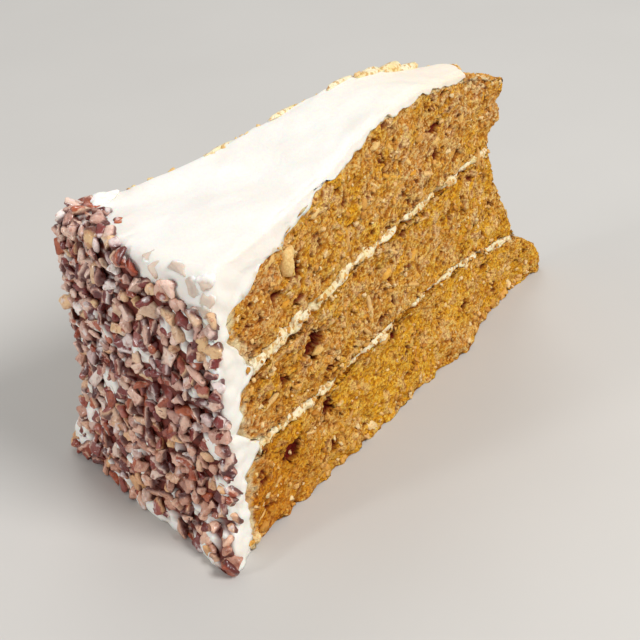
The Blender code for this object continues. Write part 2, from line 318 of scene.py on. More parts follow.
class Wire:
    # a shader value that takes part in sums
    def __init__(self, finish, socket):
        self.finish = finish
        self.socket = socket

    def sum(self, operation, first, second):
        return self.finish.add("ShaderNodeMath", {"operation": operation}, {0: first, 1: second})

    def __add__(self, other):
        return self.sum("ADD", self, other)

    def __radd__(self, other):
        return self.sum("ADD", other, self)

    def __sub__(self, other):
        return self.sum("SUBTRACT", self, other)

    def __rsub__(self, other):
        return self.sum("SUBTRACT", other, self)

    def __mul__(self, other):
        return self.sum("MULTIPLY", self, other)

    def __rmul__(self, other):
        return self.sum("MULTIPLY", other, self)

    def __pow__(self, other):
        return self.sum("POWER", self, other)


class Finish:
    # a material and its nodes
    def __init__(self, name, **values):
        self.material = bpy.data.materials.new(name)
        self.material.use_nodes = True
        self.tree = self.material.node_tree
        self.shader = self.tree.nodes["Principled BSDF"]
        for socket, value in values.items():
            self.set(socket.replace("_", " "), value)
        self.place = self.add("ShaderNodeTexCoord", out="Object")

    def add(self, kind, settings=None, sockets=None, out=0):
        node = self.tree.nodes.new(kind)
        for setting, value in (settings or {}).items():
            if setting == "stops":
                ramp = node.color_ramp.elements
                while len(ramp) < len(value):
                    ramp.new(0.5)
                for stop, (position, shade) in zip(ramp, value):
                    stop.position = position
                    stop.color = shade
            else:
                setattr(node, setting, value)
        for socket, value in (sockets or {}).items():
            self.link(self.find(node.inputs, socket), value)
        return Wire(self, self.find(node.outputs, out))

    def find(self, sockets, wanted):
        if isinstance(wanted, int):
            return [socket for socket in sockets if socket.enabled][wanted]
        return next(socket for socket in sockets if socket.enabled and socket.name == wanted)

    def link(self, socket, value):
        if isinstance(value, Wire):
            self.tree.links.new(value.socket, socket)
        else:
            socket.default_value = value

    def set(self, socket, value):
        self.link(self.shader.inputs[socket], value)

    def field(self, name):
        return self.add("ShaderNodeAttribute", {"attribute_name": name}, out="Fac")

    def grain(self, size, detail=2.0, roughness=0.5, seed=0.0):
        # noise whose bumps are this many millimetres apart, about 0.5 in the middle
        shift = (seed, seed, seed)
        moved = self.add("ShaderNodeVectorMath", {"operation": "ADD"}, {0: self.place, 1: shift})
        sockets = {"Vector": moved, "Scale": 1 / (size * mm), "Detail": detail, "Roughness": roughness}
        return self.add("ShaderNodeTexNoise", None, sockets, out=0)

    def cells(self, size):
        # a random value for each cell of this size
        sockets = {"Vector": self.place, "Scale": 1 / (size * mm)}
        return self.add("ShaderNodeTexVoronoi", None, sockets, out="Color")

    def between(self, value, low, high):
        # 0 at low and 1 at high
        sockets = {"Value": value, "From Min": low, "From Max": high}
        return self.add("ShaderNodeMapRange", {"interpolation_type": "SMOOTHSTEP"}, sockets)

    def blend(self, share, first, second, way="MIX"):
        settings = {"data_type": "RGBA", "blend_type": way, "clamp_factor": True}
        return self.add("ShaderNodeMix", settings, {"Factor": share, "A": first, "B": second})

    def ramp(self, value, *stops):
        return self.add("ShaderNodeValToRGB", {"stops": stops}, {"Fac": value})

    def raised(self, height, depth):
        # depth in millimetres
        self.set("Normal", self.add("ShaderNodeBump", None, {"Height": height, "Distance": depth * mm}))


def tone(red, green, blue):
    # a colour as read off a picture, 0 to 255
    def linear(value):
        value /= 255
        return value / 12.92 if value <= 0.04045 else ((value + 0.055) / 1.055) ** 2.4
    return (linear(red), linear(green), linear(blue), 1)


def tonesOf(piece):
    return {name: tone(*shade) for name, shade in piece["tones"].items()}


def rampOf(stops):
    return [(position, tone(*shade)) for position, *shade in stops]


# Sponge

sponge = {
    "step": 0.3,  # mesh size on the cuts
    "length": 122.0,  # what it divides, and the rows of points from cut to cut
    "rows": 14,
    # seed, thickness that the step divides, how tan it is, and its share of pits
    "layers": {"sponge_bottom": (3, 21.0, 0.1, 0.3), "sponge_middle": (17, 22.0, 0.4, 0.9),
               "sponge_top": (41, 26.0, 0.45, 1.0)},
    "cutFrom": 0.97,  # rows past this share of the half width are on a cut
    "tipFrom": 0.78,  # the crumb is on the cuts, and all around past this share of the length
    "tuck": 2.0,  # how far a layer reaches into the rim coat
    "under": (0.45, 1.8),  # and into the top coat: share of its thickness, and at most
    "underFade": (0.5, 3.0),  # before the end of that coat
    "sink": 0.3,
    "recess": 0.75,  # how much more it sinks where the coat covers it
    "coveredRim": (0.9, 0.1),
    "coveredTop": (-0.4, 0.3),
    "calm": (0.7, -1.6, -0.2),  # less relief right under the coat: how much, from and to
    # size, height and reach of a dome, how far some stand out, and the spread of their random numbers
    "granule": (0.9, 0.3, 0.45, 0.26, 17.3),
    "clump": (2.6, 0.34, 0.4, 0.24, 13.1),
    "flat": 1.35,  # they are longer than tall
    "warp": 0.55,  # how far their borders wander
    "warpNoises": ((1.4, 0), (1.3, 1), (1.5, -1)),  # size and shift along x, y and z
    # the crevices are also painted dark, as shade
    "crevice": (0.13, 0.02, 0.9),  # where it starts and is full, as a share of a clump, and depth
    # size of the areas, noise where they start and are full, and shift of the seed
    "creviceAreas": ((5.0, 0.14, 0.4, 3.5), (1.7, -0.2, 0.15, 6.5)),
    "pitAreas": ((2.1, 0.36, 0.58, 5.5), (9.0, -0.3, 0.2, 9.5)),
    "smallPitAreas": ((1.3, 0.5, 0.6, 4.5),),
    "clusterAreas": ((14.0, -0.25, 0.15, 15.5),),
    "pitDepth": 1.1,
    "smallPitDepth": 0.8,
    # pits and holes get painted shade, darker the deeper they are
    "hollowShadeFrom": (0.15, 1.2),  # depth where a pit starts to look dark and is darkest
    # painted shade where the crumb lies low: the height where it starts and where it is full
    "lowShadeFrom": (0.1, -0.45),
    # holes on the near cut: x, z, half length, half height, depth
    "holes": ((-29.4, 34.9, 2.0, 1.7, 3.6), (-27.0, 36.8, 1.9, 1.8, 3.8), (-39.3, 33.4, 1.8, 1.1, 2.0),
              (-44.6, 32.6, 1.2, 0.8, 1.6), (-48.5, 21.0, 1.0, 1.8, 1.8), (-39.8, 14.6, 2.6, 2.2, 2.2),
              (-25.9, 16.3, 1.4, 2.2, 1.8), (-50.6, 13.7, 1.6, 1.2, 1.5), (-26.2, 6.5, 1.0, 1.4, 1.4),
              (-30.8, 57.4, 0.9, 2.1, 2.0), (-39.5, 54.2, 1.4, 1.2, 1.4), (26.0, 55.3, 1.1, 1.2, 1.3),
              (26.6, 63.1, 2.4, 1.0, 1.4), (32.6, 9.8, 1.3, 0.9, 1.6), (45.2, 14.2, 1.2, 0.8, 1.4),
              (2.0, 19.0, 1.6, 0.9, 1.4), (8.8, 43.6, 1.7, 0.8, 1.5), (12.6, 45.0, 1.2, 0.7, 1.4)),
    "holeEdge": (1.25, 0.65),  # where a hole starts and is full, in half lengths
    "holeRagged": ((0.9, 1.5, 2.5), (0.5, 0.7, 2.9)),  # height, size and shift of the seed
    "cluster": (2.6, 0.45, 1.2),  # size, height and flatness of the pale clusters
    "clusterFrom": (0.16, 0.26),
    "clusterPull": (0.3, 0.14),  # how much holes thin them out and patches thicken them
    # patches on the near cut where they are thickest: x, z and reaches
    "patches": ((31, 60, 9, 3.5), (-44, 37, 8, 5), (-33, 61, 6, 4), (5, 54, 8, 3)),
    "footRagged": (1.3, 3.2, 3.5),  # how ragged the near foot is, at what size, and how high it goes
    "tanWaves": ((0.7, 15.0, 8.5), (0.6, 5.0, 8.9)),
    "tanFade": (0.3, 0, 45),  # the middle layer is less tan toward the tip
    "rimFootDarkerX": (-18, -58),  # darker toward the rim and the foot
    "rimFootDarkerZ": (30, 8),
    "rimFootDarkerHigh": 0.35,
    "rimSmear": (3.4, 0.4, 3.0, 1.8),  # cream next to the rim coat: where, how ragged and at what size
    "bareSmear": ((4.0, -0.25, 0.3, 77.0),),  # and on the bare end of the top
    "bareFrom": 0.97,
    # the pale tones of the grains are also their painted highlights, and the dark one also painted shade on
    # sunk grains
    "tones": {"crumb": (255, 190, 40), "tanCrumb": (246, 178, 88), "light": (255, 222, 108),
              "tanLight": (255, 230, 166), "clump": (252, 216, 152), "cluster": (255, 224, 176),
              "dark": (176, 104, 16), "grit": (164, 92, 10), "speckle": (196, 130, 40),
              # the tone for pits, holes and crevices and the one for low places are painted shade
              "moist": (228, 192, 144), "low": (160, 90, 16), "hollow": (112, 26, 14),
              "smear": (250, 232, 184)},
}


def crumbField(points, seed):
    # height of the crumb, the painted shade of its crevices, and random numbers of its granules and clumps
    height, gap, granules, clumps = np.zeros((4, len(points)))
    points = points * (1, 1, sponge["flat"])
    shift = Vector((seed, seed, seed))
    grains = ((granules, sponge["granule"]), (clumps, sponge["clump"]))
    for index, point in enumerate(points):
        place = Vector(point) + shift
        wander = [noise.noise(place / size + side * shift) for size, side in sponge["warpNoises"]]
        place += sponge["warp"] * Vector(wander)
        for values, (size, dome, reach, stand, spread) in grains:
            distances, middles = noise.voronoi(place / size)
            values[index] = (noise.cell(middles[0] * spread) + 1) / 2
            height[index] += dome * (reach - distances[0]) + stand * (values[index] - 0.5)
        gap[index] = distances[1] - distances[0]
    start, full, depth = sponge["crevice"]
    # painted shade in the crevices between clumps; they are also cut in by depth
    dark = smoothStep(start, full, gap) * inAreas(points, seed, sponge["creviceAreas"])
    return height - depth * dark, dark, granules, clumps


def spongeHoles(seen, side, seed, pitShare):
    # depth of the pits and holes
    pit = sponge["pitDepth"] * inAreas(seen, seed, sponge["pitAreas"])
    smallPit = sponge["smallPitDepth"] * inAreas(seen, seed, sponge["smallPitAreas"])
    hole = np.maximum(pit, smallPit) * pitShare
    ragged = ripple(seen, seed, sponge["holeRagged"], 1)
    nearCut = side < -sponge["cutFrom"]
    for x, z, halfLength, halfHeight, depth in sponge["holes"]:
        distance = np.hypot((seen[:, 0] - x) / halfLength, (seen[:, 2] - z) / halfHeight) * ragged
        hole = np.maximum(hole, depth * smoothStep(*sponge["holeEdge"], distance) * nearCut)
    return hole


def spongeClusters(seen, side, seed, hole):
    # where the crumb is pale and stands out
    size, _, flatness = sponge["cluster"]
    lessByHole, moreByPatch = sponge["clusterPull"]
    patch = sum(bump(seen[:, 0], x, reachX) * bump(seen[:, 2], z, reachZ)
                for x, z, reachX, reachZ in sponge["patches"]) * (side < 0)
    raised = noiseAt(seen * (1, 1, flatness), size, seed + 14.5) - lessByHole * hole + moreByPatch * patch
    spread = np.maximum(inAreas(seen, seed, sponge["clusterAreas"]), patch)
    return smoothStep(*sponge["clusterFrom"], raised) * spread


def spongeTints(points, across, up, node, seed, tan):
    # how tan the crumb is, how much darker it is toward the rim and the foot, and where cream is smeared on
    # it
    x, z = points[:, 0], points[:, 2]
    tan = ripple(points, seed, sponge["tanWaves"], tan)
    if node == "sponge_middle":
        fade, start, end = sponge["tanFade"]
        tan = tan - fade * smoothStep(start, end, x)
    # darker toward the rim, and more so toward the foot
    high = sponge["rimFootDarkerHigh"]
    moist = smoothStep(*sponge["rimFootDarkerX"], x) * (high + (1 - high) * smoothStep(*sponge["rimFootDarkerZ"], z))
    start, full, ragged, size = sponge["rimSmear"]
    smear = smoothStep(start, full, x - wallX(across, z) + ragged * noiseAt(points, size, 75.0))
    if node == "sponge_top":
        bare = (up > sponge["bareFrom"]) * inAreas(points, 0.0, sponge["bareSmear"])
        smear = np.maximum(smear, bare)
    return np.clip(tan, 0, 1), moist, smear


def makeSpongeLayer(name, node, levels, material):
    seed, thickness, tan, pitShare = sponge["layers"][node]
    isTop = node == "sponge_top"
    counts = (int(sponge["length"] / sponge["step"]), sponge["rows"], int(thickness / sponge["step"]))
    nodes, quads = skinOfGrid(counts)
    share, up = nodes[:, 0] / counts[0], nodes[:, 2] / counts[2]
    across = towardCuts(nodes[:, 1] / counts[1])

    def reachingLevels(x, side):
        # the top layer reaches into the coat over it
        floor, ceiling = levels(x, side)
        if isTop:
            part, most = sponge["under"]
            last, first = sponge["underFade"]
            fade = smoothStep(coatEnd(side) - last, coatEnd(side) - first, x)
            ceiling = ceiling + np.minimum(part * coatDepth(x), most) * fade
        return floor, ceiling

    def layerCrag(x, side, z):
        return crag(x, side, z, seed)

    points = layerPoints(reachingLevels, share, across, up, layerCrag, tuck=sponge["tuck"])
    fromWall = points[:, 0] - wallX(across, points[:, 2])
    intoCoat = points[:, 2] - levels(points[:, 0], across)[1]
    underCoat = points[:, 0] < coatEnd(across)
    covered = smoothStep(*sponge["coveredTop"], intoCoat) * isTop * (points[:, 0] < coatEnd(across) - 1)
    covered = np.maximum(smoothStep(*sponge["coveredRim"], fromWall), covered)
    normals = pointNormals(points, quads)

    shown = (np.abs(across) > sponge["cutFrom"]) | (share > sponge["tipFrom"])
    seen, side = points[shown], across[shown]
    height, hollow, granule, clump, cluster = np.zeros((5, len(points)))
    height[shown], hollow[shown], granule[shown], clump[shown] = crumbField(seen, seed)
    hole = spongeHoles(seen, side, seed, pitShare)
    cluster[shown] = spongeClusters(seen, side, seed, hole) * pitShare
    height[shown] += sponge["cluster"][1] * cluster[shown] - hole
    ragged, size, tall = sponge["footRagged"]
    onFoot = smoothStep(tall, 0, seen[:, 2]) * (side < -sponge["cutFrom"])
    height[shown] += ragged * noiseAt(seen, size, 12.5) * onFoot
    # pits and holes add painted shade, darker the deeper they are
    hollow[shown] = np.maximum(hollow[shown], smoothStep(*sponge["hollowShadeFrom"], hole))
    if isTop:
        calm, start, end = sponge["calm"]
        height *= 1 - calm * smoothStep(start, end, intoCoat) * underCoat
    points = points + normals * (height - sponge["sink"] - sponge["recess"] * covered)[:, None]
    points[:, 2] = np.maximum(points[:, 2], 0)
    # painted shade where the crumb lies low, less in layers with fewer pits
    low = smoothStep(*sponge["lowShadeFrom"], height) * (0.4 + 0.6 * pitShare)
    tan, moist, smear = spongeTints(points, across, up, node, seed, tan)
    makePiece(name, points, quads, material, "sponge", [node],
              hollow=hollow, low=low, granule=granule, clump=clump, smear=smear, tan=tan,
              moist=moist, cluster=cluster)
    return points, quads


def spongeFinish():
    finish = Finish("bakedSponge", Subsurface_Weight=0.06, Subsurface_Scale=0.002, Specular_IOR_Level=0.12)
    tones = tonesOf(sponge)
    tan, clump, granule = finish.field("tan"), finish.field("clump"), finish.field("granule")
    base = finish.blend(tan, tones["crumb"], tones["tanCrumb"])
    # pale tone of the grains, also used as their painted highlight
    light = finish.blend(tan, tones["light"], tones["tanLight"])
    base = finish.blend(finish.between(clump, 0.82, 0.86) * 0.6, base, tones["clump"])
    base = finish.blend(finish.field("cluster") * 0.7, base, tones["cluster"])
    # each granule's random tone, with those that stand out painted lighter as highlight and sunk ones
    # darker as shade
    base = finish.blend(finish.between(granule, 0.55, 1.0) * (0.5 + 0.4 * tan), base, light)
    base = finish.blend(finish.between(granule, 0.45, 0.0) * 0.7, base, tones["dark"])
    finish.place = finish.add("ShaderNodeVectorMath", {"operation": "MULTIPLY"},
                              {0: finish.place, 1: (1, 1, sponge["flat"])})
    grit = finish.cells(0.65)
    # finer specks of random tone; the lighter ones also serve as painted highlights on the grains
    base = finish.blend(finish.between(grit, 0.55, 0.8) * (0.5 + 0.3 * tan), base, light)
    base = finish.blend(finish.between(grit, 0.42, 0.2) * 0.6, base, tones["grit"])
    speckle = finish.between(finish.grain(0.5, 3.0, seed=1.0), 0.35, 0.65)
    base = finish.blend(speckle * 0.55, base, tones["speckle"], "MULTIPLY")
    # darker toward the rim, and more so toward the foot
    base = finish.blend(finish.field("moist") * 0.9, base, tones["moist"], "MULTIPLY")
    # painted shade where the crumb lies low
    base = finish.blend(finish.field("low") * 0.5, base, tones["low"])
    # painted shade in pits, holes and crevices
    base = finish.blend(finish.field("hollow") ** 0.7, base, tones["hollow"])
    base = finish.blend(finish.field("smear") * 0.8, base, tones["smear"])
    finish.set("Base Color", base)
    finish.set("Roughness", 0.8 - 0.25 * speckle)
    finish.raised(finish.grain(0.5, 3.0, 0.6) + 0.6 * finish.grain(0.25, 2.0, seed=2.0), 0.6)
    return finish.material


spongeNodes = list(sponge["layers"])
spongeMaterial = spongeFinish()
layers = [makeSpongeLayer(name, node, levels, spongeMaterial)
          for name, node, levels in (("spongeBottom", "sponge_bottom", bottomLevels),
                                     ("spongeMiddle", "sponge_middle", middleLevels),
                                     ("spongeTop", "sponge_top", topLevels))]


# Cream fillings

filling = {
    "step": 0.35,  # mesh size along it
    "length": 118.0,  # what it divides, and the rows of points from cut to cut and up
    "rows": (16, 8),
    "halfWidth": 40.0,  # half width that the noises reckon with
    "swell": {"lower": 1.15, "upper": 1.3},  # how much thicker it is than in the solids
    "wave": (1.8, 4.0),  # how much the thickness varies, and at what size
    "thinnest": 0.35,
    "more": 0.15,
    "wander": (1.0, 4.5),  # how far its middle strays up and down, and at what size
    "fine": (0.3, 1.6, 5.0),  # smaller waves: height, size and how much they change upward
    "proud": 0.05,
    "ragged": (0.9, 2.2),
    "rounded": 0.6,
    "endRounded": (1.5, 0.97),
    "tuck": 1.0,
    # where the filling is drawn in: middle and reach
    "breaks": {"lower": ((-18, 4), (-10, 3), (2, 3), (8, 3), (20, 4), (45, 2.5)),
               "upper": ((9, 2.0), (-27, 1.6), (26, 2.5), (38, 2.0))},
    "breakPull": (0.5, 1.6),  # how much a break thins it and draws it in
    "tones": {"thin": (248, 234, 198), "thick": (240, 216, 156), "crumbs": (206, 152, 74)},
}


def makeFilling(name, node, levels, seed, which, material):
    counts = (int(filling["length"] / filling["step"]), *filling["rows"])
    nodes, quads = skinOfGrid(counts)
    share, up = nodes[:, 0] / counts[0], nodes[:, 2] / counts[2]
    across = towardCuts(nodes[:, 1] / counts[1])
    x = layerPoints(levels, share, across, up)[:, 0]
    line = np.stack([x, across * filling["halfWidth"], up * 0], -1)
    broken = sum(bump(x, middle, reach) for middle, reach in filling["breaks"][which]) * (across < 0)
    thinned, drawnIn = filling["breakPull"]
    height, size = filling["wave"]
    swell = filling["swell"][which] + height * noiseAt(line, size, seed) - thinned * broken
    swell = np.maximum(swell, filling["thinnest"])
    height, size = filling["wander"]
    stray = height * noiseAt(line, size, seed + 2)
    height, size, upward = filling["fine"]
    line[:, 2] = up * upward
    fine = height * noiseAt(line, size, seed + 6)

    def wavyLevels(xs, side):
        low, high = levels(xs, side)
        middle, half, more = (low + high) / 2 + stray, (high - low) / 2 * swell, filling["more"]
        return middle - half - more + fine, middle + half + more + fine

    def ragged(xs, side, z):
        depth, size = filling["ragged"]
        endDepth, endFrom = filling["endRounded"]
        places = np.stack([xs, side * filling["halfWidth"], z], -1)
        out = filling["proud"] + depth * noiseAt(places, size, seed + 4) - drawnIn * broken
        out = out - filling["rounded"] * np.abs(up * 2 - 1) ** 3
        return out - endDepth * smoothStep(endFrom, 1.0, share)

    points = layerPoints(wavyLevels, share, across, up, ragged, flatEnd=True, tuck=filling["tuck"])
    makePiece(name, points, quads, material, "filling", [node])
    return points, quads


def creamFinish(name):
    finish = Finish(name, Subsurface_Weight=0.15, Subsurface_Scale=0.002, Specular_IOR_Level=0.3)
    tones = tonesOf(filling)
    thick = finish.between(finish.grain(4.0, 2.0, seed=5.0), 0.4, 0.7)
    crumbs = finish.between(finish.grain(1.1, 3.0), 0.5, 0.64)
    base = finish.blend(crumbs * 0.8, finish.blend(thick, tones["thin"], tones["thick"]), tones["crumbs"])
    finish.set("Base Color", base)
    finish.set("Roughness", 0.45 + 0.35 * crumbs)
    finish.raised(finish.grain(0.8, 3.0), 0.5)
    return finish.material


fillingMaterial = creamFinish("creamFilling")
layers.append(makeFilling("fillingLower", "filling_lower", lowerLevels, 7, "lower", fillingMaterial))
layers.append(makeFilling("fillingUpper", "filling_upper", upperLevels, 29, "upper", fillingMaterial))


# Icing coat

icing = {
    "stations": 300,  # rows of points along it, from cut to cut and through it
    "rows": (40, 14),
    "edgeSteps": (0.0, 0.15, 0.45, 0.9, 1.4, 2.0, 2.7, 3.6),  # distances of the first rows from an edge
    "edgeRoom": 0.45,  # share of the room that they take at most
    "round": (3.2, 0.4),  # radius of its edges, and at most this share of its thickness
    "waves": ((1.0, 17.0, 17.0), (0.32, 6.0, 6.0)),  # on the top: height, size and shift of the seed
    "lumps": ((1.0, 4.0, 0.0),),  # on the rim
    "cutReach": (1.6, 0.3),  # from here on a point is on a cut
    "smear": (0.1, 0.6, 3.0),  # on the cuts: how proud, how uneven and at what size
    "ooze": 1.1,  # how far cream comes out between the nuts
    "oozeFrom": (0.25, 0.7),
    "oozeWaves": ((1.2, 2.2, 0.0),),
    "oozeAreas": ((6.5, 0.3, 0.46, 2.0),),
    # and where: height, across, reach up and reach across
    "oozes": ((1.0, -0.1, 2.6, 0.42), (3.0, -0.72, 6.0, 0.13), (10.0, 0.9, 8.0, 0.12),
              (45.0, -0.09, 2.6, 0.07), (56.0, -0.5, 2.0, 0.06), (31.0, 0.08, 2.4, 0.07),
              (55.0, -0.9, 4.0, 0.09), (62.0, -0.78, 3.5, 0.1), (48.0, -0.95, 2.5, 0.06),
              (68.0, 0.95, 4.0, 0.1), (20.0, -0.92, 2.0, 0.06), (26.0, 0.97, 3.0, 0.08)),
    "border": ((1.9, 3.6, 3.6), (0.55, 1.2, 1.2)),  # where it meets the sponge on the cuts
    "borderShift": (0.2, 4.0),  # how much lower it is, and the thickness from which it wavers fully
    "end": (0.35, 1.8, 3.5),  # on the top: how much it sinks, how far it wavers and at what size
    "endFrom": 0.97,
    # nut dust and painted shade between the chips, fading at their limit: where it starts and is full, how
    # ragged and at what size
    "dustAndShade": (-1.5, -3.5, 4.0, 3.0),
    "dustAndShadeCut": (0.6, 1.8),
    "dustAndShadeUp": 0.6,
    "tipward": 0.72,  # share of its length where it starts to turn warmer
    # the cut tone darkens the cut faces as painted shade
    "tones": {"cream": (247, 243, 236), "cloudy": (244, 238, 229), "tipward": (244, 230, 212),
              "cut": (244, 236, 224), "stain": (234, 200, 140), "dustAndShade": (54, 8, 6),
              "paleDustAndShade": (140, 62, 48)},
}


def coatOuter(share, across):
    turnStart, turnEnd = cake["outerTurn"]
    edgeZ = crown(cake["rimX"][1], across) - cake["coatEdge"]
    rimZ = edgeZ * np.minimum(share / turnStart, 1)
    swell = foot(across, rimZ)
    rim = spot(rimSurfaceX(across, rimZ) - swell, across, rimZ, swell / 2)
    edgeX = rimSurfaceX(across, edgeZ) + cake["coatEdge"]
    turn = np.clip((share - turnStart) / (turnEnd - turnStart), 0, 1) * math.pi / 2
    rise = crown(edgeX, across) - edgeZ
    edge = spot(edgeX - cake["coatEdge"] * np.cos(turn), across, edgeZ + rise * np.sin(turn))
    topX = edgeX + (coatEnd(across) - edgeX) * np.clip((share - turnEnd) / (1 - turnEnd), 0, 1)
    top = spot(topX, across, crown(topX, across))
    onRim, onEdge = (share <= turnStart)[:, None], (share <= turnEnd)[:, None]
    return np.where(onRim, rim, np.where(onEdge, edge, top))


def coatInner(share, across):
    cornerZ = topLevels(np.full_like(share, cake["rimX"][1] + cake["coatCorner"]), across)[1] + cake["gap"]
    wallZ = cornerZ * np.minimum(share / cake["innerTurn"], 1)
    wall = spot(wallX(across, wallZ), across, wallZ)
    start = wallX(across, cornerZ)
    past = np.clip((share - cake["innerTurn"]) / (1 - cake["innerTurn"]), 0, 1)
    x = start + (coatEnd(across) - start) * past
    ceiling = spot(x, across, topLevels(x, across)[1] + cake["gap"])
    return np.where((share <= cake["innerTurn"])[:, None], wall, ceiling)


def upTheRim(share, across):
    # height up the rim and on over the edge, for a share of the coat's stations
    straight = crown(cake["rimX"][1], across) - cake["coatEdge"]
    rounded = straight + cake["coatEdge"] * math.pi / 2
    turnStart, turnEnd = cake["outerTurn"]
    reach = coatEnd(across) - cake["rimX"][1] - cake["coatEdge"]
    return np.where(share <= turnStart, straight * share / turnStart,
                    np.where(share <= turnEnd,
                             straight + (rounded - straight) * (share - turnStart) / (turnEnd - turnStart),
                             rounded + reach * (share - turnEnd) / (1 - turnEnd)))


def makeCoat(material):
    steps = icing["edgeSteps"]
    last = len(steps) - 1
    counts = (icing["stations"], *icing["rows"])
    nodes, quads = skinOfGrid(counts)
    share = nodes[:, 0] / counts[0]
    side = np.where(nodes[:, 1] * 2 < counts[1], -1.0, 1.0)
    fromCut = np.minimum(nodes[:, 1], counts[1] - nodes[:, 1])
    fromTop = counts[2] - nodes[:, 2]
    outer = coatOuter(share, side)
    depth = np.linalg.norm(outer - coatInner(share, side), axis=1)
    width = halfWidth(outer[:, 0], side, outer[:, 2])

    def distance(index, end, room):
        # millimetres from an edge: the listed steps first, then even ones
        fit = np.minimum(1, room * icing["edgeRoom"] / steps[-1])
        edge, start = np.interp(index, range(last + 1), steps) * fit, steps[-1] * fit
        return np.where(index <= last, edge, start + (room - start) * (index - last) / (end - last))

    dCut = distance(fromCut, counts[1] / 2, width)
    dTop = distance(fromTop, counts[2], depth)
    radius = np.minimum(icing["round"][0], depth * icing["round"][1])
    a, b = np.clip(1 - dCut / radius, 0, 1), np.clip(1 - dTop / radius, 0, 1)
    scale = np.maximum(a, b) / np.maximum(np.hypot(a, b), 1e-9)
    cornered = (a > 0) & (b > 0)
    dCut = np.where(cornered, radius * (1 - a * scale), dCut)
    dTop = np.where(cornered, radius * (1 - b * scale), dTop)
    across = side * (1 - dCut / width)
    up = 1 - dTop / depth
    outer, inner = coatOuter(share, across), coatInner(share, across)
    points = inner + (outer - inner) * up[:, None]

    # the blunt end of the top coat wavers
    turnStart, turnEnd = cake["outerTurn"]
    sink, waver, size = icing["end"]
    nearEnd = smoothStep(icing["endFrom"], 1.0, share)
    points[:, 2] -= sink * nearEnd ** 4 * up
    points[:, 0] += waver * nearEnd * noiseAt(points * (1, 1, 0.3), size, 61.0)

    # waves on the top, lumps and oozing cream on the rim, a smeared face on the cuts
    normals = pointNormals(points, quads)
    wave = ripple(points, 11.0, icing["waves"])
    onRim = smoothStep(turnStart + 0.02, turnStart - 0.06, share)
    lumps = ripple(points, 31.0, icing["lumps"])
    onCut = smoothStep(*icing["cutReach"], dCut)
    proud, uneven, size = icing["smear"]
    smear = proud + uneven * noiseAt(points, size, 51.0) * np.where(share > turnEnd, 0.5, 1)
    height = upTheRim(share, across)
    ooze = sum(bump(height, middle, tall) * bump(across, place, wide)
               for middle, place, tall, wide in icing["oozes"])
    ooze = ripple(points, 36.0, icing["oozeWaves"], ooze) + inAreas(points, 36.0, icing["oozeAreas"])
    ooze = smoothStep(*icing["oozeFrom"], ooze)
    lift = wave * up * (1 - onRim) + (lumps + icing["ooze"] * ooze) * up * onRim
    points = points + normals * (lift * (1 - onCut) + smear * onCut)[:, None]

    # its border with the sponge wavers on the cuts
    inside = (1 - up) * onCut
    border = ripple(points, 71.0, icing["border"])
    overSponge = smoothStep(cake["innerTurn"] - 0.03, cake["innerTurn"] + 0.03, share)
    lower, thick = icing["borderShift"]
    points[:, 2] += inside * overSponge * (border - lower) * np.minimum(1, depth / thick)
    points[:, 0] += inside * (1 - overSponge) * border * 0.9
    points[:, 2] = np.maximum(points[:, 2], 0)

    # nut dust and painted shade on the coat in the gaps between the chips
    past = height - crown(cake["rimX"][1], across) - along(nuts["limit"], across)
    start, full, ragged, size = icing["dustAndShade"]
    dusted = smoothStep(start, full, past + noiseAt(points, size, 91.0) * ragged)
    dusted *= smoothStep(*icing["dustAndShadeCut"], dCut) * (up > icing["dustAndShadeUp"]) * (1 - ooze)
    makePiece("icingCoat", points, quads, material, "icing", ["icing"],
              dusted=dusted, cut=onCut, inner=1 - up, tipward=smoothStep(icing["tipward"], 1.0, share))
    return points, quads


# Chopped nuts on the rim

